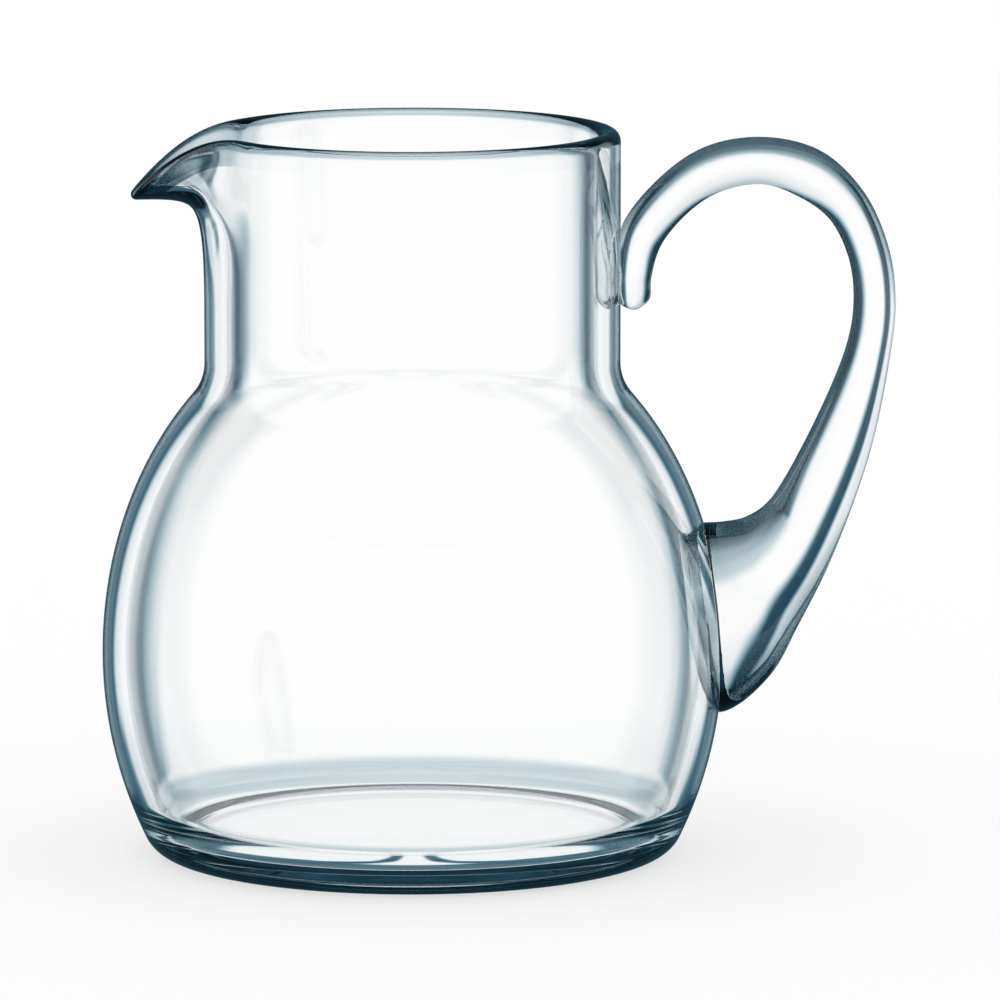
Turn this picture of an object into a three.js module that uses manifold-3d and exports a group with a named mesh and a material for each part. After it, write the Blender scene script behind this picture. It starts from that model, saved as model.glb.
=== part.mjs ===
// A glass pitcher of about one litre: a blown body with a drawn pouring lip and a solid loop handle.
// Millimetres, +Z up. The origin is the centre of the flat underside. The lip points to -X and the
// handle to +X.

import * as THREE from "three";
import { mergeVertices } from "three/addons/utils/BufferGeometryUtils.js";
import Module from "manifold-3d";

const wasm = await Module();
wasm.setup();

// Body: heights above the table, outer radii and wall thicknesses.
const rimHeight = 155;
const neckRadius = 44.2;
const neckWall = 4.8;
const bellyRadius = 66.2;
const bellyHeight = 43;
const bellyWall = 4.9;
const floorThickness = 5.6;

// Body: the curves between them. The belly is a round arc below its widest level and a quarter
// ellipse above it.
const lowerArcRadius = 90;
const shoulderEllipseWidth = 59.7;
const shoulderEllipseHeight = 75;
const shoulderFillet = 11;
const heelRadius = 7;
const floorCornerRadius = 13;

// Pouring lip: drawn out and down from the rim. lipRoot is where the neck starts to follow it. A higher
// lipFocusPower draws the lip together towards its middle line.
const lipRoot = 118;
const lipTipRadius = 59.7;
const lipTipHeight = 141.2;
const lipTipWall = 2.3;
const lipRise = 25.5;
const lipRun = 14;
const lipDroop = THREE.MathUtils.degToRad(6);
const lipHalfAngle = THREE.MathUtils.degToRad(36);
const lipFocusPower = 3.4;
const lipDropPower = 1.7;
const lipThinningPower = 3;

// Handle: how far it stands out, its highest and lowest points, and its greatest width across.
const loopReach = 102.6;
const loopTop = 153.3;
const padBottom = 30.4;
const strapWidth = 15.5;
const padWidth = 26;

// Handle: its section is round on the outer side and flat, with small corners, on the side of the body.
// Higher powers make that half squarer, and the taper narrows it towards its flat. It rounds off where
// the strap widens into the pad.
const outerHalfPower = 2.2;
const innerHalfPower = 14;
const padHalfPower = 2.6;
const roundingRate = 2.5;
const innerTaperShare = 0.14;
const cornerCrowdingPower = 1.7;

// Both gathers were laid together hot; as two solids they keep this gap.
const seatGap = 0.3;

// How finely the round forms are divided.
const lipSegments = 16;
const bodySegments = 40;
const lowerArcSteps = 7;
const shoulderSteps = 8;
const filletSteps = 4;
const heelSteps = 4;
const neckSteps = 9;
const rimSteps = 6;
const stationSteps = 3;
const sectionSegments = 24;

// Finds where a falling function of one angle reaches zero, by halving the range.
function solveAngle(fall, low, high) {
  const halvings = 50;
  for (let i = 0; i < halvings; i++) {
    const middle = (low + high) / 2;
    if (fall(middle) > 0) low = middle;
    else high = middle;
  }
  return (low + high) / 2;
}

// Points of a round arc about (centreRadius, centreHeight), without the first one.
function arcPoints(centreRadius, centreHeight, radius, from, to, steps) {
  const points = [];
  for (let i = 1; i <= steps; i++) {
    const angle = THREE.MathUtils.lerp(from, to, i / steps);
    const reach = radius * Math.cos(angle);
    const rise = radius * Math.sin(angle);
    points.push(new THREE.Vector2(centreRadius + reach, centreHeight + rise));
  }
  return points;
}

// One side of the wall as [radius, height] points, from the axis up to the root of the lip.
// inset is 0 for the outer side and the belly's wall thickness for the inner side.
function wallProfile(inset, neckInset, bottom, cornerRadius, fillet) {
  const points = [new THREE.Vector2(0, bottom)];

  // The corner rounds from the flat bottom into the lower arc, tangent to both.
  const arcRadius = lowerArcRadius - inset;
  const arcCentre = bellyRadius - lowerArcRadius;
  const cornerHeight = bottom + cornerRadius;
  const cornerDrop = bellyHeight - cornerHeight;
  const cornerReach = Math.sqrt((arcRadius - cornerRadius) ** 2 - cornerDrop ** 2);
  const cornerCentre = arcCentre + cornerReach;
  const cornerAngle = -Math.atan2(cornerDrop, cornerReach);
  points.push(new THREE.Vector2(cornerCentre, bottom));
  const down = -Math.PI / 2;
  points.push(...arcPoints(cornerCentre, cornerHeight, cornerRadius, down, cornerAngle, heelSteps));
  points.push(...arcPoints(arcCentre, bellyHeight, arcRadius, cornerAngle, 0, lowerArcSteps));

  // The shoulder is a quarter ellipse up to its fillet with the neck.
  const width = shoulderEllipseWidth - inset;
  const height = shoulderEllipseHeight - inset;
  const ellipseCentre = bellyRadius - shoulderEllipseWidth;
  const neck = neckRadius - neckInset;
  const filletCentreAt = (angle) => {
    const normal = new THREE.Vector2(Math.cos(angle) / width, Math.sin(angle) / height).normalize();
    const radius = ellipseCentre + width * Math.cos(angle) + fillet * normal.x;
    const level = bellyHeight + height * Math.sin(angle) + fillet * normal.y;
    return { radius, level, normal };
  };
  const meeting = solveAngle((angle) => filletCentreAt(angle).radius - neck - fillet, 0, Math.PI / 2);
  for (let i = 1; i <= shoulderSteps; i++) {
    const angle = (meeting * i) / shoulderSteps;
    const reach = width * Math.cos(angle);
    const rise = height * Math.sin(angle);
    points.push(new THREE.Vector2(ellipseCentre + reach, bellyHeight + rise));
  }
  const seat = filletCentreAt(meeting);
  const from = Math.atan2(-seat.normal.y, -seat.normal.x) + 2 * Math.PI;
  points.push(...arcPoints(seat.radius, seat.level, fillet, from, Math.PI, filletSteps));
  points.push(new THREE.Vector2(neck, lipRoot));
  return points;
}

const outerProfile = wallProfile(0, 0, 0, heelRadius, shoulderFillet);
const innerFillet = shoulderFillet + neckWall;
const innerProfile = wallProfile(bellyWall, neckWall, floorThickness, floorCornerRadius, innerFillet);

// Directions round the axis, closer together across the lip, which is centred on -X.
const azimuths = [];
for (let i = 0; i < lipSegments; i++) {
  azimuths.push(Math.PI - lipHalfAngle + (2 * lipHalfAngle * i) / lipSegments);
}
for (let i = 0; i < bodySegments; i++) {
  const rest = 2 * Math.PI - 2 * lipHalfAngle;
  azimuths.push(Math.PI + lipHalfAngle + (rest * i) / bodySegments);
}

// How strongly a direction belongs to the lip: 1 on its middle line, 0 at its sides and beyond.
function lipShare(azimuth) {
  const off = Math.abs(Math.atan2(Math.sin(azimuth - Math.PI), Math.cos(azimuth - Math.PI)));
  return off < lipHalfAngle ? Math.cos(((off / lipHalfAngle) * Math.PI) / 2) ** lipFocusPower : 0;
}

// Thickness of the upper neck: it thins only near the tip of the lip.
function upperWall(azimuth, share) {
  return neckWall - (neckWall - lipTipWall) * lipShare(azimuth) * share ** lipThinningPower;
}

// Middle of the upper neck's wall, from the lip's root (share 0) to the rim (share 1).
function upperMiddle(azimuth, share) {
  const lip = lipShare(azimuth);
  const middle = neckRadius - neckWall / 2;
  const rim = rimHeight - neckWall / 2;
  const evenRun = (rim - lipRoot) / 3;
  const endAngle = THREE.MathUtils.lerp(Math.PI / 2, -lipDroop, lip);
  const run = THREE.MathUtils.lerp(evenRun, lipRun, lip);
  const endRadius = THREE.MathUtils.lerp(middle, lipTipRadius - lipTipWall / 2, lip);
  const endHeight = THREE.MathUtils.lerp(rim, lipTipHeight, lip ** lipDropPower);
  const curve = new THREE.CubicBezierCurve(
    new THREE.Vector2(middle, lipRoot),
    new THREE.Vector2(middle, lipRoot + THREE.MathUtils.lerp(evenRun, lipRise, lip)),
    new THREE.Vector2(endRadius - run * Math.cos(endAngle), endHeight - run * Math.sin(endAngle)),
    new THREE.Vector2(endRadius, endHeight),
  );
  const point = curve.getPoint(share);
  return new THREE.Vector3(point.x * Math.cos(azimuth), point.x * Math.sin(azimuth), point.y);
}

// Outward direction of the upper wall, and the direction in which it runs on towards the rim.
function upperDirections(azimuth, share) {
  const stepShare = 0.001;
  const before = Math.max(share - stepShare, 0);
  const after = Math.min(share + stepShare, 1);
  const along = upperMiddle(azimuth, after).sub(upperMiddle(azimuth, before)).normalize();
  const around = upperMiddle(azimuth + stepShare, share).sub(upperMiddle(azimuth - stepShare, share));
  const outward = around.cross(along).normalize();
  return { along, outward };
}

// A ring of the upper wall, turned about the middle of the wall by an angle: 0 is its outer side,
// half a turn its inner side.
function upperRing(share, turn) {
  return azimuths.map((azimuth) => {
    const { along, outward } = upperDirections(azimuth, share);
    const half = upperWall(azimuth, share) / 2;
    const point = upperMiddle(azimuth, share);
    point.addScaledVector(outward, half * Math.cos(turn));
    return point.addScaledVector(along, half * Math.sin(turn));
  });
}

function turnedRing(point) {
  return azimuths.map(
    (azimuth) => new THREE.Vector3(point.x * Math.cos(azimuth), point.x * Math.sin(azimuth), point.y),
  );
}

// Closes a stack of equal rings into one skin, with a middle point at each end.
function skinOf(rings, firstPoint, lastPoint) {
  const count = rings[0].length;
  const points = [firstPoint, ...rings.flat(), lastPoint];
  const faces = [];
  const at = (ring, i) => 1 + ring * count + (i % count);
  for (let i = 0; i < count; i++) {
    faces.push(0, at(0, i + 1), at(0, i));
    faces.push(points.length - 1, at(rings.length - 1, i), at(rings.length - 1, i + 1));
    for (let ring = 0; ring + 1 < rings.length; ring++) {
      faces.push(at(ring, i), at(ring, i + 1), at(ring + 1, i + 1));
      faces.push(at(ring, i), at(ring + 1, i + 1), at(ring + 1, i));
    }
  }
  const geometry = new THREE.BufferGeometry().setFromPoints(points);
  geometry.setIndex(faces);
  return geometry;
}

function solidOf(geometry) {
  const bare = geometry.clone();
  bare.deleteAttribute("normal");
  bare.deleteAttribute("uv");
  const merged = mergeVertices(bare);
  return new wasm.Manifold(
    new wasm.Mesh({
      numProp: 3,
      vertProperties: merged.attributes.position.array,
      triVerts: new Uint32Array(merged.index.array),
    }),
  );
}

function geometryOf(solid) {
  const mesh = solid.getMesh();
  const geometry = new THREE.BufferGeometry();
  geometry.setAttribute("position", new THREE.BufferAttribute(mesh.vertProperties, mesh.numProp));
  geometry.setIndex(new THREE.BufferAttribute(mesh.triVerts, 1));
  geometry.computeVertexNormals();
  return geometry;
}

// Body: up the outer side, over the rounded rim and down the inner side to the floor.
function bodyGeometry() {
  const rings = outerProfile.slice(1).map(turnedRing);
  for (let i = 1; i <= neckSteps; i++) {
    rings.push(upperRing(i / neckSteps, 0));
  }
  for (let i = 1; i < rimSteps; i++) {
    rings.push(upperRing(1, (Math.PI * i) / rimSteps));
  }
  for (let i = neckSteps; i > 0; i--) {
    rings.push(upperRing(i / neckSteps, Math.PI));
  }
  rings.push(...innerProfile.slice(1).reverse().map(turnedRing));
  return skinOf(rings, new THREE.Vector3(0, 0, 0), new THREE.Vector3(0, 0, floorThickness));
}

// The space that the body and its seat gap take from the handle: the outer side, grown by the gap.
function seatGeometry() {
  const grown = outerProfile.slice(1).map((point, i, list) => {
    const before = list[Math.max(i - 1, 0)];
    const after = list[Math.min(i + 1, list.length - 1)];
    const along = after.clone().sub(before).normalize();
    return new THREE.Vector2(point.x + seatGap * along.y, point.y - seatGap * along.x);
  });
  grown.push(new THREE.Vector2(neckRadius + seatGap, rimHeight));
  const rings = grown.map(turnedRing);
  return skinOf(rings, new THREE.Vector3(0, 0, -seatGap), new THREE.Vector3(0, 0, rimHeight));
}

// Handle: stations from the curled free end, over the loop and down into the pad. Each gives the
// inner and the outer edge of the strap, as shares of the reach beyond the neck and of the rise from
// pad bottom to loop top, and the width across, as a share from the strap's width to the pad's.
const handleStationShares = [
  { inner: [0.075, 0.702], outer: [0.024, 0.7], width: -0.6 },
  { inner: [0.104, 0.724], outer: [-0.005, 0.714], width: -0.2 },
  { inner: [0.11, 0.76], outer: [-0.02, 0.765], width: 0 },
  { inner: [0.153, 0.824], outer: [0.0135, 0.855], width: 0 },
  { inner: [0.3215, 0.902], outer: [0.2555, 0.971], width: 0 },
  { inner: [0.499, 0.924], outer: [0.496, 1], width: 0 },
  { inner: [0.64, 0.903], outer: [0.722, 0.977], width: 0 },
  { inner: [0.757, 0.862], outer: [0.882, 0.906], width: 0 },
  { inner: [0.827, 0.793], outer: [0.974, 0.809], width: 0 },
  { inner: [0.85, 0.718], outer: [1, 0.715], width: 0 },
  { inner: [0.825, 0.634], outer: [0.98, 0.617], width: 0.02 },
  { inner: [0.684, 0.475], outer: [0.902, 0.439], width: 0.1 },
  { inner: [0.544, 0.366], outer: [0.76, 0.254], width: 0.42 },
  { inner: [0.458, 0.337], outer: [0.652, 0.15], width: 0.62 },
  { inner: [0.38, 0.329], outer: [0.552, 0.063], width: 0.8 },
  { inner: [0.312, 0.327], outer: [0.396, 0], width: 0.95 },
  { inner: [0.22, 0.327], outer: [0.235, 0], width: 1 },
];

function handlePlace(share) {
  const reach = neckRadius + share[0] * (loopReach - neckRadius);
  const rise = padBottom + share[1] * (loopTop - padBottom);
  return new THREE.Vector3(reach, 0, rise);
}

// The rounded half of the section, at a share of its half turn from the outermost point to one side.
function roundHalf(share) {
  const angle = (share * Math.PI) / 2;
  const out = Math.cos(angle) ** (2 / outerHalfPower);
  return { out, across: Math.sin(angle) ** (2 / outerHalfPower) };
}

// The flat half, at a share of the way from that side, round the corner, to the middle of the flat. The
// points crowd at the corner.
function flatHalf(share, power) {
  const offCorner = 1 - 2 * share;
  const crowded = Math.sign(offCorner) * Math.abs(offCorner) ** cornerCrowdingPower;
  const angle = (Math.PI / 4) * (1 + crowded);
  const reach = (Math.cos(angle) ** power + Math.sin(angle) ** power) ** (-1 / power);
  const out = -reach * Math.cos(angle);
  return { out, across: reach * Math.sin(angle) * (1 - innerTaperShare * out ** 2) };
}

// One section of the handle between its inner and outer edge.
function handleRing(inner, outer, width) {
  const centre = inner.clone().add(outer).divideScalar(2);
  const half = outer.clone().sub(inner).divideScalar(2);
  const across = new THREE.Vector3(0, -width / 2, 0);
  const widening = Math.max(0, (width - strapWidth) / (padWidth - strapWidth));
  const rounding = Math.min(1, widening * roundingRate);
  const power = innerHalfPower * (padHalfPower / innerHalfPower) ** rounding;
  const ring = [];
  for (let i = 0; i < sectionSegments; i++) {
    const side = i < sectionSegments / 2 ? 1 : -1;
    const quarters = (4 * Math.min(i, sectionSegments - i)) / sectionSegments;
    const place = quarters < 1 ? roundHalf(quarters) : flatHalf(quarters - 1, power);
    const point = centre.clone().addScaledVector(half, place.out);
    ring.push(point.addScaledVector(across, side * place.across));
  }
  return ring;
}

function handleGeometry() {
  const inner = new THREE.CatmullRomCurve3(handleStationShares.map((at) => handlePlace(at.inner)));
  const outer = new THREE.CatmullRomCurve3(handleStationShares.map((at) => handlePlace(at.outer)));
  const widths = new THREE.CatmullRomCurve3(
    handleStationShares.map(
      (at) => new THREE.Vector3(THREE.MathUtils.lerp(strapWidth, padWidth, at.width), 0, 0),
    ),
  );
  const steps = (handleStationShares.length - 1) * stationSteps;
  const rings = [];
  for (let i = 0; i <= steps; i++) {
    const share = i / steps;
    rings.push(handleRing(inner.getPoint(share), outer.getPoint(share), widths.getPoint(share).x));
  }
  const first = inner.getPoint(0).add(outer.getPoint(0)).divideScalar(2);
  const last = inner.getPoint(1).add(outer.getPoint(1)).divideScalar(2);
  return skinOf(rings, first, last);
}

const clearGlass = { color: 0xdfe9ec, roughness: 0.02, metalness: 0, transparent: true, opacity: 0.35 };

const body = new THREE.Mesh(bodyGeometry(), new THREE.MeshStandardMaterial(clearGlass));
body.name = "body";

const looseHandle = solidOf(handleGeometry());
const seatedHandle = looseHandle.subtract(solidOf(seatGeometry()));
const handle = new THREE.Mesh(geometryOf(seatedHandle), new THREE.MeshStandardMaterial(clearGlass));
handle.name = "handle";

const pitcher = new THREE.Group();
pitcher.add(body, handle);

export default pitcher;
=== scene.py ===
import bpy
from math import atan2, cos, hypot, pi, radians, sin, sqrt
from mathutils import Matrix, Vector
from mathutils.bvhtree import BVHTree
from mathutils.kdtree import KDTree


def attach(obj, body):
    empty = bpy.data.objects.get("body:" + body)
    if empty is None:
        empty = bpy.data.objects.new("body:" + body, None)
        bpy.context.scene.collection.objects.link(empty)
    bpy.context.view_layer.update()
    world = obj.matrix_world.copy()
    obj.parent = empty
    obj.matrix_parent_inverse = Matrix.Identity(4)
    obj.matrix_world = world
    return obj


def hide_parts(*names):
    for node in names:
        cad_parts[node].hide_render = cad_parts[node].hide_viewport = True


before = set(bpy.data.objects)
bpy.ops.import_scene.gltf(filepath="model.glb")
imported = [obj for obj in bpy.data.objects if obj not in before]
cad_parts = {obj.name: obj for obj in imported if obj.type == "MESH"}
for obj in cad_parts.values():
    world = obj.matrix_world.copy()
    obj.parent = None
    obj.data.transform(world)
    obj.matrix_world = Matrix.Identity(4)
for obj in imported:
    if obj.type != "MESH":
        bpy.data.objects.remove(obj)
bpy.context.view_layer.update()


# Body: one gather of clear glass, blown into a round belly on a thick flat base, with a straight neck.
# The rim is fire-polished and a pouring lip is drawn out of it by hand while the glass is soft.
rim_height = 0.155
neck_radius = 0.0442
neck_wall = 0.0048
belly_radius = 0.0662
belly_height = 0.043
belly_wall = 0.0049
floor_thickness = 0.0056

lower_arc_radius = 0.09
shoulder_width = 0.0597
shoulder_rise = 0.075
shoulder_fillet = 0.011
heel_radius = 0.007
floor_corner = 0.013

lip_root = 0.118
lip_tip_radius = 0.0597
lip_tip_height = 0.1412
lip_tip_wall = 0.0023
lip_rise = 0.0255
lip_run = 0.014
lip_droop = radians(6)
lip_half_angle = radians(36)
lip_focus = 3.4
lip_drop = 1.7
lip_thinning = 3

floor_shares = (0.25, 0.5, 0.7, 0.85, 0.94, 1)
corner_rings = 40
belly_rings = 40
shoulder_rings = 60
fillet_rings = 14
neck_shares = (0.25, 0.5, 0.75, 1)
neck_steps = 36
rim_steps = 16
fillet_halvings = 50


def turned_arc(centre_radius, centre_height, radius, start, end, steps):
    points = []
    for i in range(1, steps + 1):
        angle = start + (end - start) * i / steps
        points.append((centre_radius + radius * cos(angle), centre_height + radius * sin(angle)))
    return points


def fillet_seat(angle, width, height, fillet):
    # Centre of the fillet circle that touches the shoulder's ellipse from outside at this angle.
    across, up = cos(angle) / width, sin(angle) / height
    length = hypot(across, up)
    across, up = across / length, up / length
    reach = belly_radius - shoulder_width + width * cos(angle) + fillet * across
    level = belly_height + height * sin(angle) + fillet * up
    return reach, level, across, up


def wall_side(inset, neck_inset, bottom, corner, fillet):
    # One side of the wall as (radius, height), from the axis up to the root of the lip.
    arc_radius = lower_arc_radius - inset
    arc_centre = belly_radius - lower_arc_radius
    drop = belly_height - bottom - corner
    reach = sqrt((arc_radius - corner) ** 2 - drop ** 2)
    corner_angle = -atan2(drop, reach)
    flat = arc_centre + reach
    points = [(flat * share, bottom) for share in floor_shares]
    points += turned_arc(flat, bottom + corner, corner, -pi / 2, corner_angle, corner_rings)
    points += turned_arc(arc_centre, belly_height, arc_radius, corner_angle, 0, belly_rings)
    width, height = shoulder_width - inset, shoulder_rise - inset
    neck = neck_radius - neck_inset
    low, high = 0, pi / 2
    for _ in range(fillet_halvings):
        middle = (low + high) / 2
        if fillet_seat(middle, width, height, fillet)[0] > neck + fillet:
            low = middle
        else:
            high = middle
    for i in range(1, shoulder_rings + 1):
        angle = low * i / shoulder_rings
        reach = belly_radius - shoulder_width + width * cos(angle)
        points.append((reach, belly_height + height * sin(angle)))
    reach, level, across, up = fillet_seat(low, width, height, fillet)
    points += turned_arc(reach, level, fillet, atan2(-up, -across) + 2 * pi, pi, fillet_rings)
    for share in neck_shares:
        points.append((neck, level + (lip_root - level) * share))
    return points


def lip_share(azimuth):
    # How far the rim is drawn out at this direction: 1 in the middle of the lip, 0 beside it.
    off = abs(atan2(sin(azimuth - pi), cos(azimuth - pi)))
    return cos(off / lip_half_angle * pi / 2) ** lip_focus if off < lip_half_angle else 0


def mix(a, b, share):
    return a + (b - a) * share


def upper_wall(azimuth, share):
    return neck_wall - (neck_wall - lip_tip_wall) * lip_share(azimuth) * share ** lip_thinning


def upper_middle(azimuth, share):
    # Middle of the neck's wall above the lip's root: straight round the neck, drawn out over the lip.
    lip = lip_share(azimuth)
    middle = neck_radius - neck_wall / 2
    rim = rim_height - neck_wall / 2
    even = (rim - lip_root) / 3
    turn = mix(pi / 2, -lip_droop, lip)
    run = mix(even, lip_run, lip)
    end_radius = mix(middle, lip_tip_radius - lip_tip_wall / 2, lip)
    end_height = mix(rim, lip_tip_height, lip ** lip_drop)
    radii = (middle, middle, end_radius - run * cos(turn), end_radius)
    heights = (lip_root, lip_root + mix(even, lip_rise, lip), end_height - run * sin(turn), end_height)
    rest = 1 - share
    weights = (rest ** 3, 3 * rest ** 2 * share, 3 * rest * share ** 2, share ** 3)
    radius = sum(w * r for w, r in zip(weights, radii))
    height = sum(w * h for w, h in zip(weights, heights))
    return Vector((radius * cos(azimuth), radius * sin(azimuth), height))


def upper_ring(share, turn):
    # A ring of the upper wall, turned about the wall's middle: 0 is the outer side, pi the inner side.
    step = 0.001
    ring = []
    for azimuth in azimuths:
        along = upper_middle(azimuth, min(share + step, 1)) - upper_middle(azimuth, max(share - step, 0))
        around = upper_middle(azimuth + step, share) - upper_middle(azimuth - step, share)
        along.normalize()
        outward = around.cross(along).normalized()
        half = upper_wall(azimuth, share) / 2
        point = upper_middle(azimuth, share)
        ring.append(point + outward * half * cos(turn) + along * half * sin(turn))
    return ring


def turned_ring(radius, height):
    return [Vector((radius * cos(azimuth), radius * sin(azimuth), height)) for azimuth in azimuths]


def closed_skin(name, rings, first, last):
    # A stack of equal rings, closed with a middle point at each end.
    count = len(rings[0])
    points = [first] + [point for ring in rings for point in ring] + [last]
    faces = []
    for i in range(count):
        k = (i + 1) % count
        top = 1 + (len(rings) - 1) * count
        faces.append((0, 1 + k, 1 + i))
        faces.append((len(points) - 1, top + i, top + k))
        for ring in range(len(rings) - 1):
            here, above = 1 + ring * count, 1 + (ring + 1) * count
            faces.append((here + i, here + k, above + k, above + i))
    mesh = bpy.data.meshes.new(name)
    mesh.from_pydata(points, [], faces)
    mesh.shade_smooth()
    piece = bpy.data.objects.new(name, mesh)
    bpy.context.scene.collection.objects.link(piece)
    return piece


def spread(start, end, count):
    return [start + (end - start) * i / count for i in range(count)]


# Directions round the axis, closer together across the lip and below the handle.
seat_half_angle = radians(16)
lip_segments = 72
side_segments = 64
seat_segments = 44
azimuths = spread(pi - lip_half_angle, pi + lip_half_angle, lip_segments)
azimuths += spread(pi + lip_half_angle, 2 * pi - seat_half_angle, side_segments)
azimuths += spread(2 * pi - seat_half_angle, 2 * pi + seat_half_angle, seat_segments)
azimuths += spread(2 * pi + seat_half_angle, 3 * pi - lip_half_angle, side_segments)

outer_side = wall_side(0, 0, 0, heel_radius, shoulder_fillet)
inner_side = wall_side(belly_wall, neck_wall, floor_thickness, floor_corner, shoulder_fillet + neck_wall)
body_rings = [turned_ring(*point) for point in outer_side]
body_rings += [upper_ring(i / neck_steps, 0) for i in range(1, neck_steps + 1)]
body_rings += [upper_ring(1, pi * i / rim_steps) for i in range(1, rim_steps)]
body_rings += [upper_ring(i / neck_steps, pi) for i in range(neck_steps, 0, -1)]
body_rings += [turned_ring(*point) for point in reversed(inner_side)]
body = closed_skin("glass_body", body_rings, Vector((0, 0, 0)), Vector((0, 0, floor_thickness)))

# Colours of the glass from face-on to edge-on, painted edge shade: nearly none, then a dark green-blue
# where that painted shade is strongest.
glass_ior = 1.5
plain_glass = (1, 1, 1, 1)
wall_edge_shade = ((0.72, plain_glass), (0.78, (0.45, 0.63, 0.69, 1)), (0.9, (0.01, 0.03, 0.04, 1)))
inside_edge_shade = ((0.66, plain_glass), (0.8, (0.85, 0.9, 0.92, 1)), (0.95, (0.5, 0.62, 0.67, 1)))
round_edge_shade = (
    (0.04, (0.8, 0.84, 0.87, 1)),
    (0.09, (0.4, 0.5, 0.55, 1)),
    (0.145, (0.26, 0.36, 0.4, 1)),
    (0.21, (0.12, 0.19, 0.22, 1)),
    (0.31, (0.05, 0.09, 0.11, 1)),
    (0.5, (0.008, 0.02, 0.028, 1)),
)
seat_edge = ((0.9, plain_glass),)


def edge_shaded_glass(name, edge_shade_stops, bend):
    # Clear glass with painted edge shade: its colour darkens as its surface turns edge-on, by the
    # strength of painted shade set at that place.
    glass_material = bpy.data.materials.new(name)
    glass_material.use_nodes = True
    glass_nodes, glass_links = glass_material.node_tree.nodes, glass_material.node_tree.links
    glass = glass_nodes["Principled BSDF"]
    glass.inputs["Roughness"].default_value = 0
    glass.inputs["IOR"].default_value = bend
    glass.inputs["Transmission Weight"].default_value = 1
    edge_on = glass_nodes.new("ShaderNodeLayerWeight")
    shade_amount = glass_nodes.new("ShaderNodeAttribute")
    shade_amount.attribute_name = "painted_edge_shade"
    edge_share = glass_nodes.new("ShaderNodeMath")
    edge_share.operation = "MULTIPLY"
    glass_links.new(edge_on.outputs["Facing"], edge_share.inputs[0])
    glass_links.new(shade_amount.outputs["Fac"], edge_share.inputs[1])
    edge_shade_ramp = glass_nodes.new("ShaderNodeValToRGB")
    edge_shade_ramp.color_ramp.elements[0].color = plain_glass
    edge_shade_ramp.color_ramp.elements[1].color = edge_shade_stops[-1][1]
    edge_shade_ramp.color_ramp.elements[1].position = edge_shade_stops[-1][0]
    for place, colour in edge_shade_stops[:-1]:
        edge_shade_ramp.color_ramp.elements.new(place).color = colour
    glass_links.new(edge_share.outputs[0], edge_shade_ramp.inputs["Fac"])
    # The painted edge shade goes into the glass's base colour.
    glass_links.new(edge_shade_ramp.outputs["Color"], glass.inputs["Base Color"])
    return glass_material


def set_painted_edge_shade(piece, shade_amounts):
    # Strength of the painted edge shade at each point when it is seen edge-on: 1 in a plain wall, 0 in a
    # flat one.
    painted_edge_shade = piece.data.attributes.new("painted_edge_shade", "FLOAT", "POINT")
    for point, shade_amount in zip(painted_edge_shade.data, shade_amounts):
        point.value = shade_amount


# The last is for the handle's seat: both are one glass there, so light runs straight on through it.
clear_glass = edge_shaded_glass("clear_glass", wall_edge_shade, glass_ior)
inside_glass = edge_shaded_glass("clear_glass_inside", inside_edge_shade, glass_ior)
rounded_glass = edge_shaded_glass("clear_glass_rounded", round_edge_shade, glass_ior)
fused_glass = edge_shaded_glass("clear_glass_fused", seat_edge, 1)
body_glasses = [clear_glass, inside_glass, rounded_glass, fused_glass]
for glass_material in body_glasses:
    body.data.materials.append(glass_material)

# The rim, the top of the neck and the lip are rounded, the heel is thick and the floor is flat and even.
# Each gets its own strength of painted edge shade, more where the rim and heel tilt, more across the lip,
# and none on the flat floor.
rim_shade = 0.5
rim_share = 0.9
side_shade = 0.04
lip_throat_shade = 1
lip_spread = 0.35
heel_shade = 2
heel_rise = 3
flat_rings = len(floor_shares)
rim_start = len(outer_side) + int(neck_steps * rim_share)
rim_end = len(outer_side) + 2 * neck_steps + rim_steps - 1 - int(neck_steps * rim_share)
inner_start = len(outer_side) + neck_steps + rim_steps - 1

# For each ring from the middle of the underside, over the rim, to the middle of the floor: the strength
# of its painted edge shade where it is upright, and what a tilt adds to that.
ring_shades = [(0, 0)] * flat_rings
ring_shades += [(min(1, heel_rise * i / corner_rings), heel_shade) for i in range(1, corner_rings + 1)]
ring_shades += [(1, 0)] * (rim_start - flat_rings - corner_rings)
ring_shades += [(side_shade, rim_shade)] * (rim_end - rim_start)
ring_shades += [(1, 0)] * (len(body_rings) - rim_end - flat_rings - corner_rings)
ring_shades += [(i / corner_rings, 0) for i in range(corner_rings, 0, -1)]
ring_shades += [(0, 0)] * flat_rings
rises = [i / neck_steps for i in range(1, neck_steps + 1)]
ring_rises = [0] * len(outer_side) + rises + [1] * (rim_steps - 1) + rises[::-1] + [0] * len(inner_side)
body_shades = [0]
for ring, (upright, tilted) in enumerate(ring_shades):
    # Painted shade drawn into the upper neck and the rim, strongest across the lip.
    drawn = lip_throat_shade * max(0, 2 * ring_rises[ring] - 1)
    for i, azimuth in enumerate(azimuths):
        tilt = abs(body.data.vertices[1 + ring * len(azimuths) + i].normal.z)
        body_shades.append(upright + tilted * tilt + drawn * lip_share(azimuth) ** lip_spread)
set_painted_edge_shade(body, body_shades + [0])
for face in body.data.polygons:
    ring = (max(face.vertices) - 1) // len(azimuths)
    if rim_start < ring < rim_end:
        face.material_index = body_glasses.index(rounded_glass)
    elif ring > inner_start:
        face.material_index = body_glasses.index(inside_glass)
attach(body, "root")
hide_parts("body")


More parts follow.
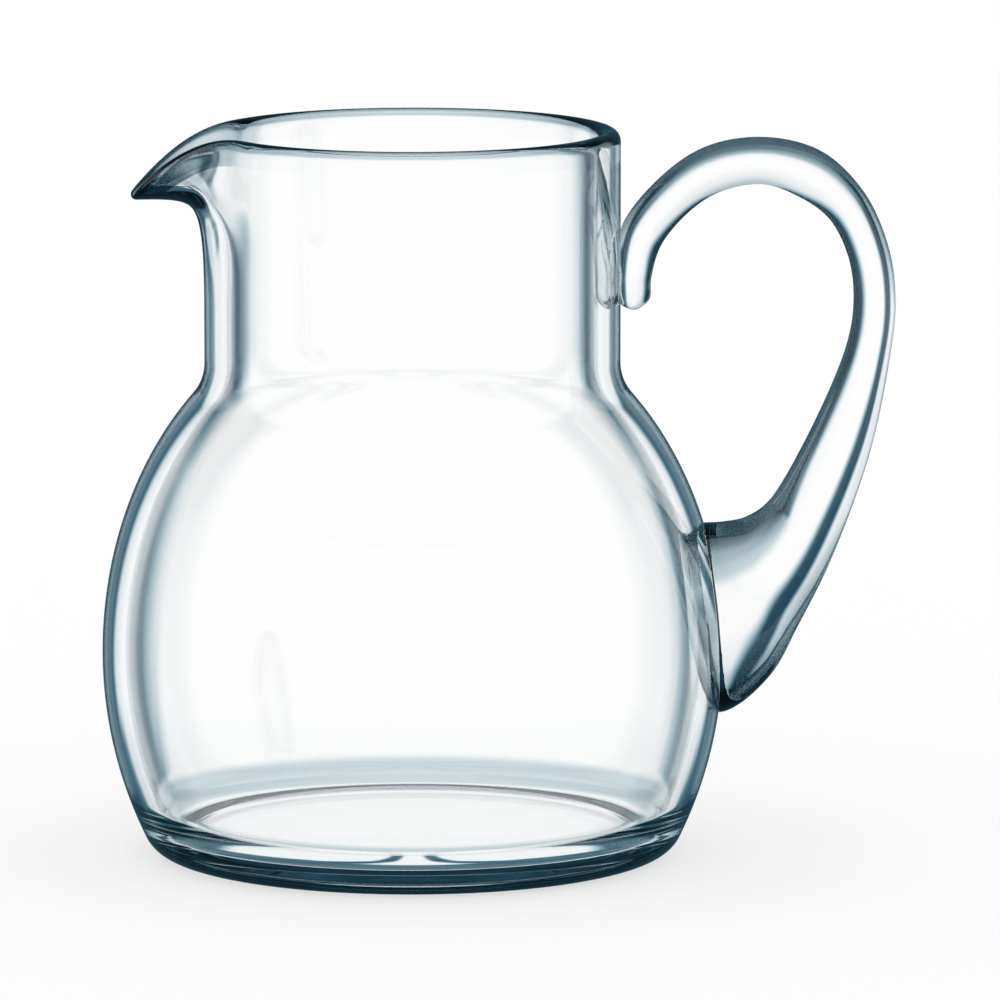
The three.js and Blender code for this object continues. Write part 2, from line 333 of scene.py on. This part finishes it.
# Handle: a second gather of clear glass, solid all through, fused low on the belly, pulled up and over
# in one loop and pressed on the neck below the rim, with the last of it curled outwards.
loop_reach = 0.1026
loop_top = 0.1533
pad_bottom = 0.0304
strap_width = 0.0155
pad_width = 0.026
outer_power = 2.2
inner_power = 14
pad_power = 2.6
rounding_rate = 2.5
inner_taper = 0.14
corner_crowding = 1.7
end_rounding = 0.0022
handle_steps = 240
section_segments = 96

# Shares of the reach beyond the neck and of the rise, for the strap's inner and then its outer edge, and
# the share of the way from the strap's width to the pad's.
handle_stations = (
    ((0.075, 0.702), (0.024, 0.7), -0.6),
    ((0.104, 0.724), (-0.005, 0.714), -0.2),
    ((0.11, 0.76), (-0.02, 0.765), 0),
    ((0.153, 0.824), (0.0135, 0.855), 0),
    ((0.3215, 0.902), (0.2555, 0.971), 0),
    ((0.499, 0.924), (0.496, 1), 0),
    ((0.64, 0.903), (0.722, 0.977), 0),
    ((0.757, 0.862), (0.882, 0.906), 0),
    ((0.827, 0.793), (0.974, 0.809), 0),
    ((0.85, 0.718), (1, 0.715), 0),
    ((0.825, 0.634), (0.98, 0.617), 0.02),
    ((0.684, 0.475), (0.902, 0.439), 0.1),
    ((0.544, 0.366), (0.76, 0.254), 0.42),
    ((0.458, 0.337), (0.652, 0.15), 0.62),
    ((0.38, 0.329), (0.552, 0.063), 0.8),
    ((0.312, 0.327), (0.396, 0), 0.95),
    ((0.22, 0.327), (0.235, 0), 1),
)


def smooth_path(points, knots, place):
    # Smooth curve through the points, each passed at its own knot.
    start = max(i for i in range(len(knots) - 1) if knots[i] <= place)
    p1, p2 = points[start], points[start + 1]
    p0 = points[start - 1] if start else p1 * 2 - p2
    p3 = points[start + 2] if start + 2 < len(points) else p2 * 2 - p1
    t1 = knots[start + 1] - knots[start]
    t0 = knots[start] - knots[start - 1] if start else t1
    t2 = knots[start + 2] - knots[start + 1] if start + 2 < len(points) else t1
    m1 = ((p1 - p0) / t0 - (p2 - p0) / (t0 + t1) + (p2 - p1) / t1) * t1
    m2 = ((p2 - p1) / t1 - (p3 - p1) / (t1 + t2) + (p3 - p2) / t2) * t1
    rest = (place - knots[start]) / t1
    a = p1 * 2 - p2 * 2 + m1 + m2
    b = p2 * 3 - p1 * 3 - m1 * 2 - m2
    return a * rest ** 3 + b * rest ** 2 + m1 * rest + p1


def handle_place(shares):
    reach = mix(neck_radius, loop_reach, shares[0])
    return Vector((reach, 0, mix(pad_bottom, loop_top, shares[1])))


def section_point(share, power):
    # The strap's section, as shares of its half thickness and half width: round outside, flat and
    # square-cornered on the side of the body.
    half_turn = 0.5 - abs(share - 0.5)
    if half_turn < 0.25:
        angle = 2 * pi * half_turn
        out = abs(cos(angle)) ** (2 / outer_power)
        across = sin(angle) ** (2 / outer_power)
    else:
        off_corner = 1 - (half_turn - 0.25) * 8
        angle = pi / 4 * (1 + abs(off_corner) ** corner_crowding * (1 if off_corner > 0 else -1))
        reach = (abs(cos(angle)) ** power + sin(angle) ** power) ** (-1 / power)
        out = -reach * cos(angle)
        across = reach * sin(angle) * (1 - inner_taper * out ** 2)
    return out, across if share < 0.5 else -across


inner_edge = [handle_place(station[0]) for station in handle_stations]
outer_edge = [handle_place(station[1]) for station in handle_stations]
widths = [mix(strap_width, pad_width, station[2]) for station in handle_stations]
middles = [(inner + outer) / 2 for inner, outer in zip(inner_edge, outer_edge)]
knots = [0]
for before, after in zip(middles, middles[1:]):
    knots.append(knots[-1] + sqrt((after - before).length))
handle_rings = []
for step in range(handle_steps):
    place = knots[-1] * (step + 0.5) / handle_steps
    inner = smooth_path(inner_edge, knots, place)
    outer = smooth_path(outer_edge, knots, place)
    width = smooth_path(widths, knots, place)
    from_end = min(((inner + outer) / 2 - middles[0]).length / end_rounding, 1)
    fullness = sqrt(1 - (1 - from_end) ** 2)
    rounding = min(1, rounding_rate * max(0, (width - strap_width) / (pad_width - strap_width)))
    power = inner_power * (pad_power / inner_power) ** rounding
    ring = []
    for i in range(section_segments):
        out, across = section_point(i / section_segments, power)
        point = (inner + outer) / 2 + (outer - inner) / 2 * out * fullness
        point.y -= width / 2 * across * fullness
        ring.append(point)
    handle_rings.append(ring)
handle = closed_skin("glass_handle", handle_rings, middles[0], middles[-1])
handle.data.materials.append(rounded_glass)
whole_handle = BVHTree.FromPolygons(
    [vertex.co.copy() for vertex in handle.data.vertices],
    [tuple(face.vertices) for face in handle.data.polygons],
)
whole_section = KDTree(len(handle.data.vertices))
for vertex in handle.data.vertices:
    whole_section.insert(vertex.co, vertex.index)
whole_section.balance()

# The body's outer side trims the handle, and the skin that both share there is the fused seat.
seam_gap = 0.00005
trim_overlap = 1.5
trim_segments = int(trim_overlap * seat_segments)
trim_azimuths = spread(-trim_overlap * seat_half_angle, trim_overlap * seat_half_angle, trim_segments)
crease_angle = radians(40)


def trim_ring(radius, height):
    reach = radius + seam_gap
    ring = [Vector((reach * cos(azimuth), reach * sin(azimuth), height)) for azimuth in trim_azimuths]
    return [Vector((0, 0, height))] + ring


trim_rings = [trim_ring(*point) for point in outer_side[flat_rings - 1:]]
trim_rings.append(trim_ring(neck_radius, rim_height))
trim_middle = neck_radius / 2
trim_top = Vector((trim_middle, 0, rim_height))
trim_block = closed_skin("trim_block", trim_rings, Vector((trim_middle, 0, 0)), trim_top)
trim_block.data.materials.append(fused_glass)
trim = handle.modifiers.new("trim", "BOOLEAN")
trim.solver = "EXACT"
trim.object = trim_block
trim.material_mode = "TRANSFER"
trimmed_handle = handle.evaluated_get(bpy.context.evaluated_depsgraph_get())
handle.data = bpy.data.meshes.new_from_object(trimmed_handle)
handle.modifiers.clear()
bpy.data.objects.remove(trim_block)
handle.data.set_sharp_from_angle(angle=crease_angle)


def above_handle(point):
    # How far a point of the body is outside the whole handle; less than 0 is under the seat.
    nearest, normal, _, _ = whole_handle.find_nearest(point)
    return (point - nearest).dot(normal)


# The body gives way to the handle at the seat: its points beside the seat move round onto the seat's
# outline, and its faces inside that outline become fused glass.
seat_start = lip_segments + side_segments
seated = set()
for ring in range(flat_rings + corner_rings, inner_start):
    first = 1 + ring * len(azimuths) + seat_start
    points = [body.data.vertices[first + i] for i in range(seat_segments + 1)]
    clearances = [above_handle(point.co) for point in points]
    for i in range(seat_segments):
        near, far = clearances[i], clearances[i + 1]
        if near * far < 0:
            share = near / (near - far)
            moved = points[i if share < 0.5 else i + 1]
            azimuth = mix(azimuths[seat_start + i], azimuths[seat_start + i + 1], share)
            reach = hypot(moved.co.x, moved.co.y)
            moved.co.x = reach * cos(azimuth)
            moved.co.y = reach * sin(azimuth)
            seated.add(moved.index)
    seated.update(point.index for point, clearance in zip(points, clearances) if clearance <= 0)
for face in body.data.polygons:
    if seated.issuperset(face.vertices):
        face.material_index = body_glasses.index(fused_glass)

# The strap's side towards the body, the top of the loop and the underside of the pad get the strongest
# painted edge shade, the top and the pad's underside more as they face up or down.
strap_shade = 0.05
inner_edge_shade = 1.3
top_shade = 1.1
pad_shade = 1.5
pad_rise = (0.075, 0.045)
handle_shades = []
for vertex in handle.data.vertices:
    index = whole_section.find(vertex.co)[1]
    out = section_point((index - 1) % section_segments / section_segments, inner_power)[0]
    shade_amount = mix(strap_shade, inner_edge_shade, max(0, -out) * min(1, 1 + vertex.normal.z))
    low = min(1, max(0, (vertex.co.z - pad_rise[0]) / (pad_rise[1] - pad_rise[0])))
    shade_amount += top_shade * max(0, vertex.normal.z)
    handle_shades.append(shade_amount + pad_shade * low * max(0, -vertex.normal.z))
set_painted_edge_shade(handle, handle_shades)
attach(handle, "root")
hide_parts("handle")


# Floor: a wide, round white table top that takes the pitcher's soft shadow. Seen directly it is lit as
# white as the paper behind it; seen in the glass it gives way to the studio below and beyond it.
table_radius = 1.6
table_corners = 96
table_drop = 0.0002
table_glow_share = 0.6
table_turns = [2 * pi * i / table_corners for i in range(table_corners)]
table_rim = [(table_radius * cos(turn), table_radius * sin(turn), -table_drop) for turn in table_turns]
table_mesh = bpy.data.meshes.new("table_top")
table_mesh.from_pydata(table_rim, [], [tuple(range(table_corners))])
table_top = bpy.data.objects.new("table_top", table_mesh)
bpy.context.scene.collection.objects.link(table_top)
table_white = bpy.data.materials.new("table_white")
table_white.use_nodes = True
table_nodes, table_links = table_white.node_tree.nodes, table_white.node_tree.links
table_shader = table_nodes["Principled BSDF"]
table_shader.inputs["Base Color"].default_value = (1, 1, 1, 1)
table_shader.inputs["Roughness"].default_value = 1
table_shader.inputs["Specular IOR Level"].default_value = 0
table_glow = table_nodes.new("ShaderNodeEmission")
table_glow.inputs["Strength"].default_value = 1
table_ray = table_nodes.new("ShaderNodeLightPath")
direct_glow = table_nodes.new("ShaderNodeMath")
direct_glow.operation = "MULTIPLY"
direct_glow.inputs[1].default_value = table_glow_share
table_links.new(table_ray.outputs["Is Camera Ray"], direct_glow.inputs[0])
table_lit = table_nodes.new("ShaderNodeMixShader")
table_links.new(direct_glow.outputs[0], table_lit.inputs[0])
table_links.new(table_shader.outputs[0], table_lit.inputs[1])
table_links.new(table_glow.outputs[0], table_lit.inputs[2])
seen_through_glass = table_nodes.new("ShaderNodeMath")
seen_through_glass.operation = "MAXIMUM"
table_links.new(table_ray.outputs["Is Transmission Ray"], seen_through_glass.inputs[0])
table_links.new(table_ray.outputs["Is Glossy Ray"], seen_through_glass.inputs[1])
table_clear = table_nodes.new("ShaderNodeBsdfTransparent")
table_mix = table_nodes.new("ShaderNodeMixShader")
table_links.new(seen_through_glass.outputs[0], table_mix.inputs[0])
table_links.new(table_lit.outputs[0], table_mix.inputs[1])
table_links.new(table_clear.outputs[0], table_mix.inputs[2])
table_links.new(table_mix.outputs[0], table_nodes["Material Output"].inputs["Surface"])
table_top.data.materials.append(table_white)


# Studio: a room of white panels with dark gaps and grey cards between them, as glass is lit to show its
# edges. The cards are seen in the glass only. The photo shows the room nowhere but in the glass, so each
# card is placed where it draws one of the photo's dark bands.
studio = bpy.data.worlds.new("studio")
bpy.context.scene.world = studio
studio.use_nodes = True
studio_nodes, studio_links = studio.node_tree.nodes, studio.node_tree.links


def feed(socket, given):
    if isinstance(given, (int, float)):
        socket.default_value = given
    else:
        studio_links.new(given, socket)


def reckon(operation, *givens):
    # One step of arithmetic on lights and on places in the room.
    node = studio_nodes.new("ShaderNodeMath")
    node.operation = operation
    for socket, given in zip(node.inputs, givens):
        feed(socket, given)
    return node.outputs[0]


def shared(*areas):
    # What all the areas have in common.
    area = areas[0]
    for other in areas[1:]:
        area = reckon("MULTIPLY", area, other)
    return area


def soft_edge(place, outside, inside):
    # 0 outside a card and 1 on it, with a soft edge between these two places.
    node = studio_nodes.new("ShaderNodeMapRange")
    node.interpolation_type = "SMOOTHSTEP"
    feed(node.inputs["Value"], place)
    node.inputs["From Min"].default_value = outside
    node.inputs["From Max"].default_value = inside
    return node.outputs["Result"]


def light_by(area, outside, inside):
    # One light outside an area and another on it, blended across the area's soft edge.
    node = studio_nodes.new("ShaderNodeMix")
    feed(node.inputs["Factor"], area)
    feed(node.inputs["A"], outside)
    feed(node.inputs["B"], inside)
    return node.outputs["Result"]


def levels(outside, inside):
    # Two elevations in degrees, as heights on a room of radius 1.
    return sin(radians(outside)), sin(radians(inside))


# Places in the room: the turn away from the wall behind the pitcher, and the height. Light that comes
# straight through the glass is told from light that is mirrored in it on the way.
room_place = studio_nodes.new("ShaderNodeTexCoord")
room_axes = studio_nodes.new("ShaderNodeSeparateXYZ")
studio_links.new(room_place.outputs["Generated"], room_axes.inputs[0])
room_height = room_axes.outputs["Z"]
room_turn = reckon("ABSOLUTE", reckon("ARCTAN2", room_axes.outputs["X"], room_axes.outputs["Y"]))
light_path = studio_nodes.new("ShaderNodeLightPath")
times_mirrored = light_path.outputs["Glossy Depth"]
walls_passed = light_path.outputs["Transmission Depth"]
straight = reckon("LESS_THAN", times_mirrored, 0.5)
mirrored = reckon("SUBTRACT", 1, straight)

# Dark gaps between four windows and four panels, weaker beside the pitcher and in front of it.
gap_card = 0.075
gap_side_share = 0.4
window_edge = (radians(9.5), radians(16.5))
panel_edge = (radians(29), radians(23))
back_wall = (radians(50), radians(44))
table_line = levels(-35, -25)
off_window = reckon("PINGPONG", room_turn, pi / 4)
gap_strength = light_by(soft_edge(room_turn, *back_wall), gap_side_share, 1)
gap = shared(
    soft_edge(off_window, *window_edge),
    soft_edge(off_window, *panel_edge),
    soft_edge(room_height, *table_line),
    straight,
    gap_strength,
)
glass_light = light_by(gap, 1, gap_card)

# Green-blue cards beside the rear window, at the sides and below the table line.
teal_card = 0.135
side_near = (radians(50), radians(58))
side_far = (radians(76), radians(66))
well_line = levels(-11, -15)
well_foot = levels(-61, -55)
well_side = (radians(32), radians(26))
rear_cards = shared(soft_edge(room_turn, *window_edge), soft_edge(room_turn, *panel_edge))
side_cards = shared(soft_edge(room_turn, *side_near), soft_edge(room_turn, *side_far))
well = shared(
    soft_edge(room_height, *well_line),
    soft_edge(room_height, *well_foot),
    soft_edge(room_turn, *well_side),
)
teal_cards = reckon("MAXIMUM", reckon("MAXIMUM", rear_cards, side_cards), well)
glass_light = light_by(shared(teal_cards, mirrored), glass_light, teal_card)

# A near-black cover above and behind, mirrored within one wall only.
cover_card = 0.04
cover_line = levels(16, 22)
rear_half = (radians(78), radians(62))
in_one_wall = reckon("LESS_THAN", walls_passed, 2.5)
cover = shared(
    soft_edge(room_height, *cover_line),
    soft_edge(room_turn, *rear_half),
    mirrored,
    in_one_wall,
)
glass_light = light_by(cover, glass_light, cover_card)

# A pale step low behind the pitcher, where the wall turns into the table.
step_card = 0.68
step_top = levels(-17, -23)
step_foot = levels(-36, -28)
step_side = (radians(24), radians(14))
step = shared(
    soft_edge(room_height, *step_top),
    soft_edge(room_height, *step_foot),
    soft_edge(room_turn, *step_side),
    straight,
)
glass_light = light_by(step, glass_light, step_card)

# The outer skin of the glass mirrors a dark card behind the pitcher and another all round below it.
skin_card = 0.1
skin_side = (radians(40), radians(30))
skin_foot = levels(-12, -24)
off_skin = shared(mirrored, reckon("LESS_THAN", walls_passed, 0.5))
skin_area = reckon("MAXIMUM", soft_edge(room_turn, *skin_side), soft_edge(room_height, *skin_foot))
glass_light = light_by(shared(off_skin, skin_area), glass_light, skin_card)

# Light that is mirrored many times runs a long way in the glass, which takes some of it each time.
kept_each_time = 0.96
kept_in_the_deep = 0.12
deep_turns = (3, 7)
kept_light = reckon("POWER", kept_each_time, times_mirrored)
deep_light = light_by(soft_edge(times_mirrored, *deep_turns), 1, kept_in_the_deep)
glass_light = shared(glass_light, kept_light, deep_light)

# The room is plain white seen directly. In the glass, the darker it is the more green-blue it looks.
red_fall = 1.44
blue_fall = 0.86
through_glass = light_path.outputs["Is Transmission Ray"]
in_glass = reckon("MAXIMUM", through_glass, light_path.outputs["Is Glossy Ray"])
room_light = light_by(in_glass, 1, glass_light)
room_colour = studio_nodes.new("ShaderNodeCombineColor")
feed(room_colour.inputs["Red"], reckon("POWER", room_light, red_fall))
feed(room_colour.inputs["Green"], room_light)
feed(room_colour.inputs["Blue"], reckon("POWER", room_light, blue_fall))
room_walls = studio_nodes["Background"]
studio_links.new(room_colour.outputs[0], room_walls.inputs["Color"])
room_walls.inputs["Strength"].default_value = 1

# How many turns light may take in the glass before it is given up: enough to leave the thick base.
most_turns = 32
light_limits = bpy.context.scene.cycles
light_limits.max_bounces = most_turns
light_limits.transmission_bounces = most_turns
light_limits.glossy_bounces = most_turns


# Camera: a long lens from well back, a little above the table, so that the rim and the floor show as
# narrow ellipses. The aim is between the body's axis and the handle, at half height.
view_distance = 2.1
view_width = 0.213
view_elevation = radians(8.6)
view_aim = Vector((0.0186, 0, 0.0756))
film_width = 36
view_lens = bpy.data.cameras.new("camera")
view_lens.sensor_width = film_width
view_lens.lens = film_width * view_distance / view_width
camera = bpy.data.objects.new("camera", view_lens)
bpy.context.scene.collection.objects.link(camera)
camera.location = view_aim + Vector((0, -cos(view_elevation), sin(view_elevation))) * view_distance
camera.rotation_euler = (pi / 2 - view_elevation, 0, 0)
bpy.context.scene.camera = camera
bpy.context.scene.view_settings.view_transform = "Standard"
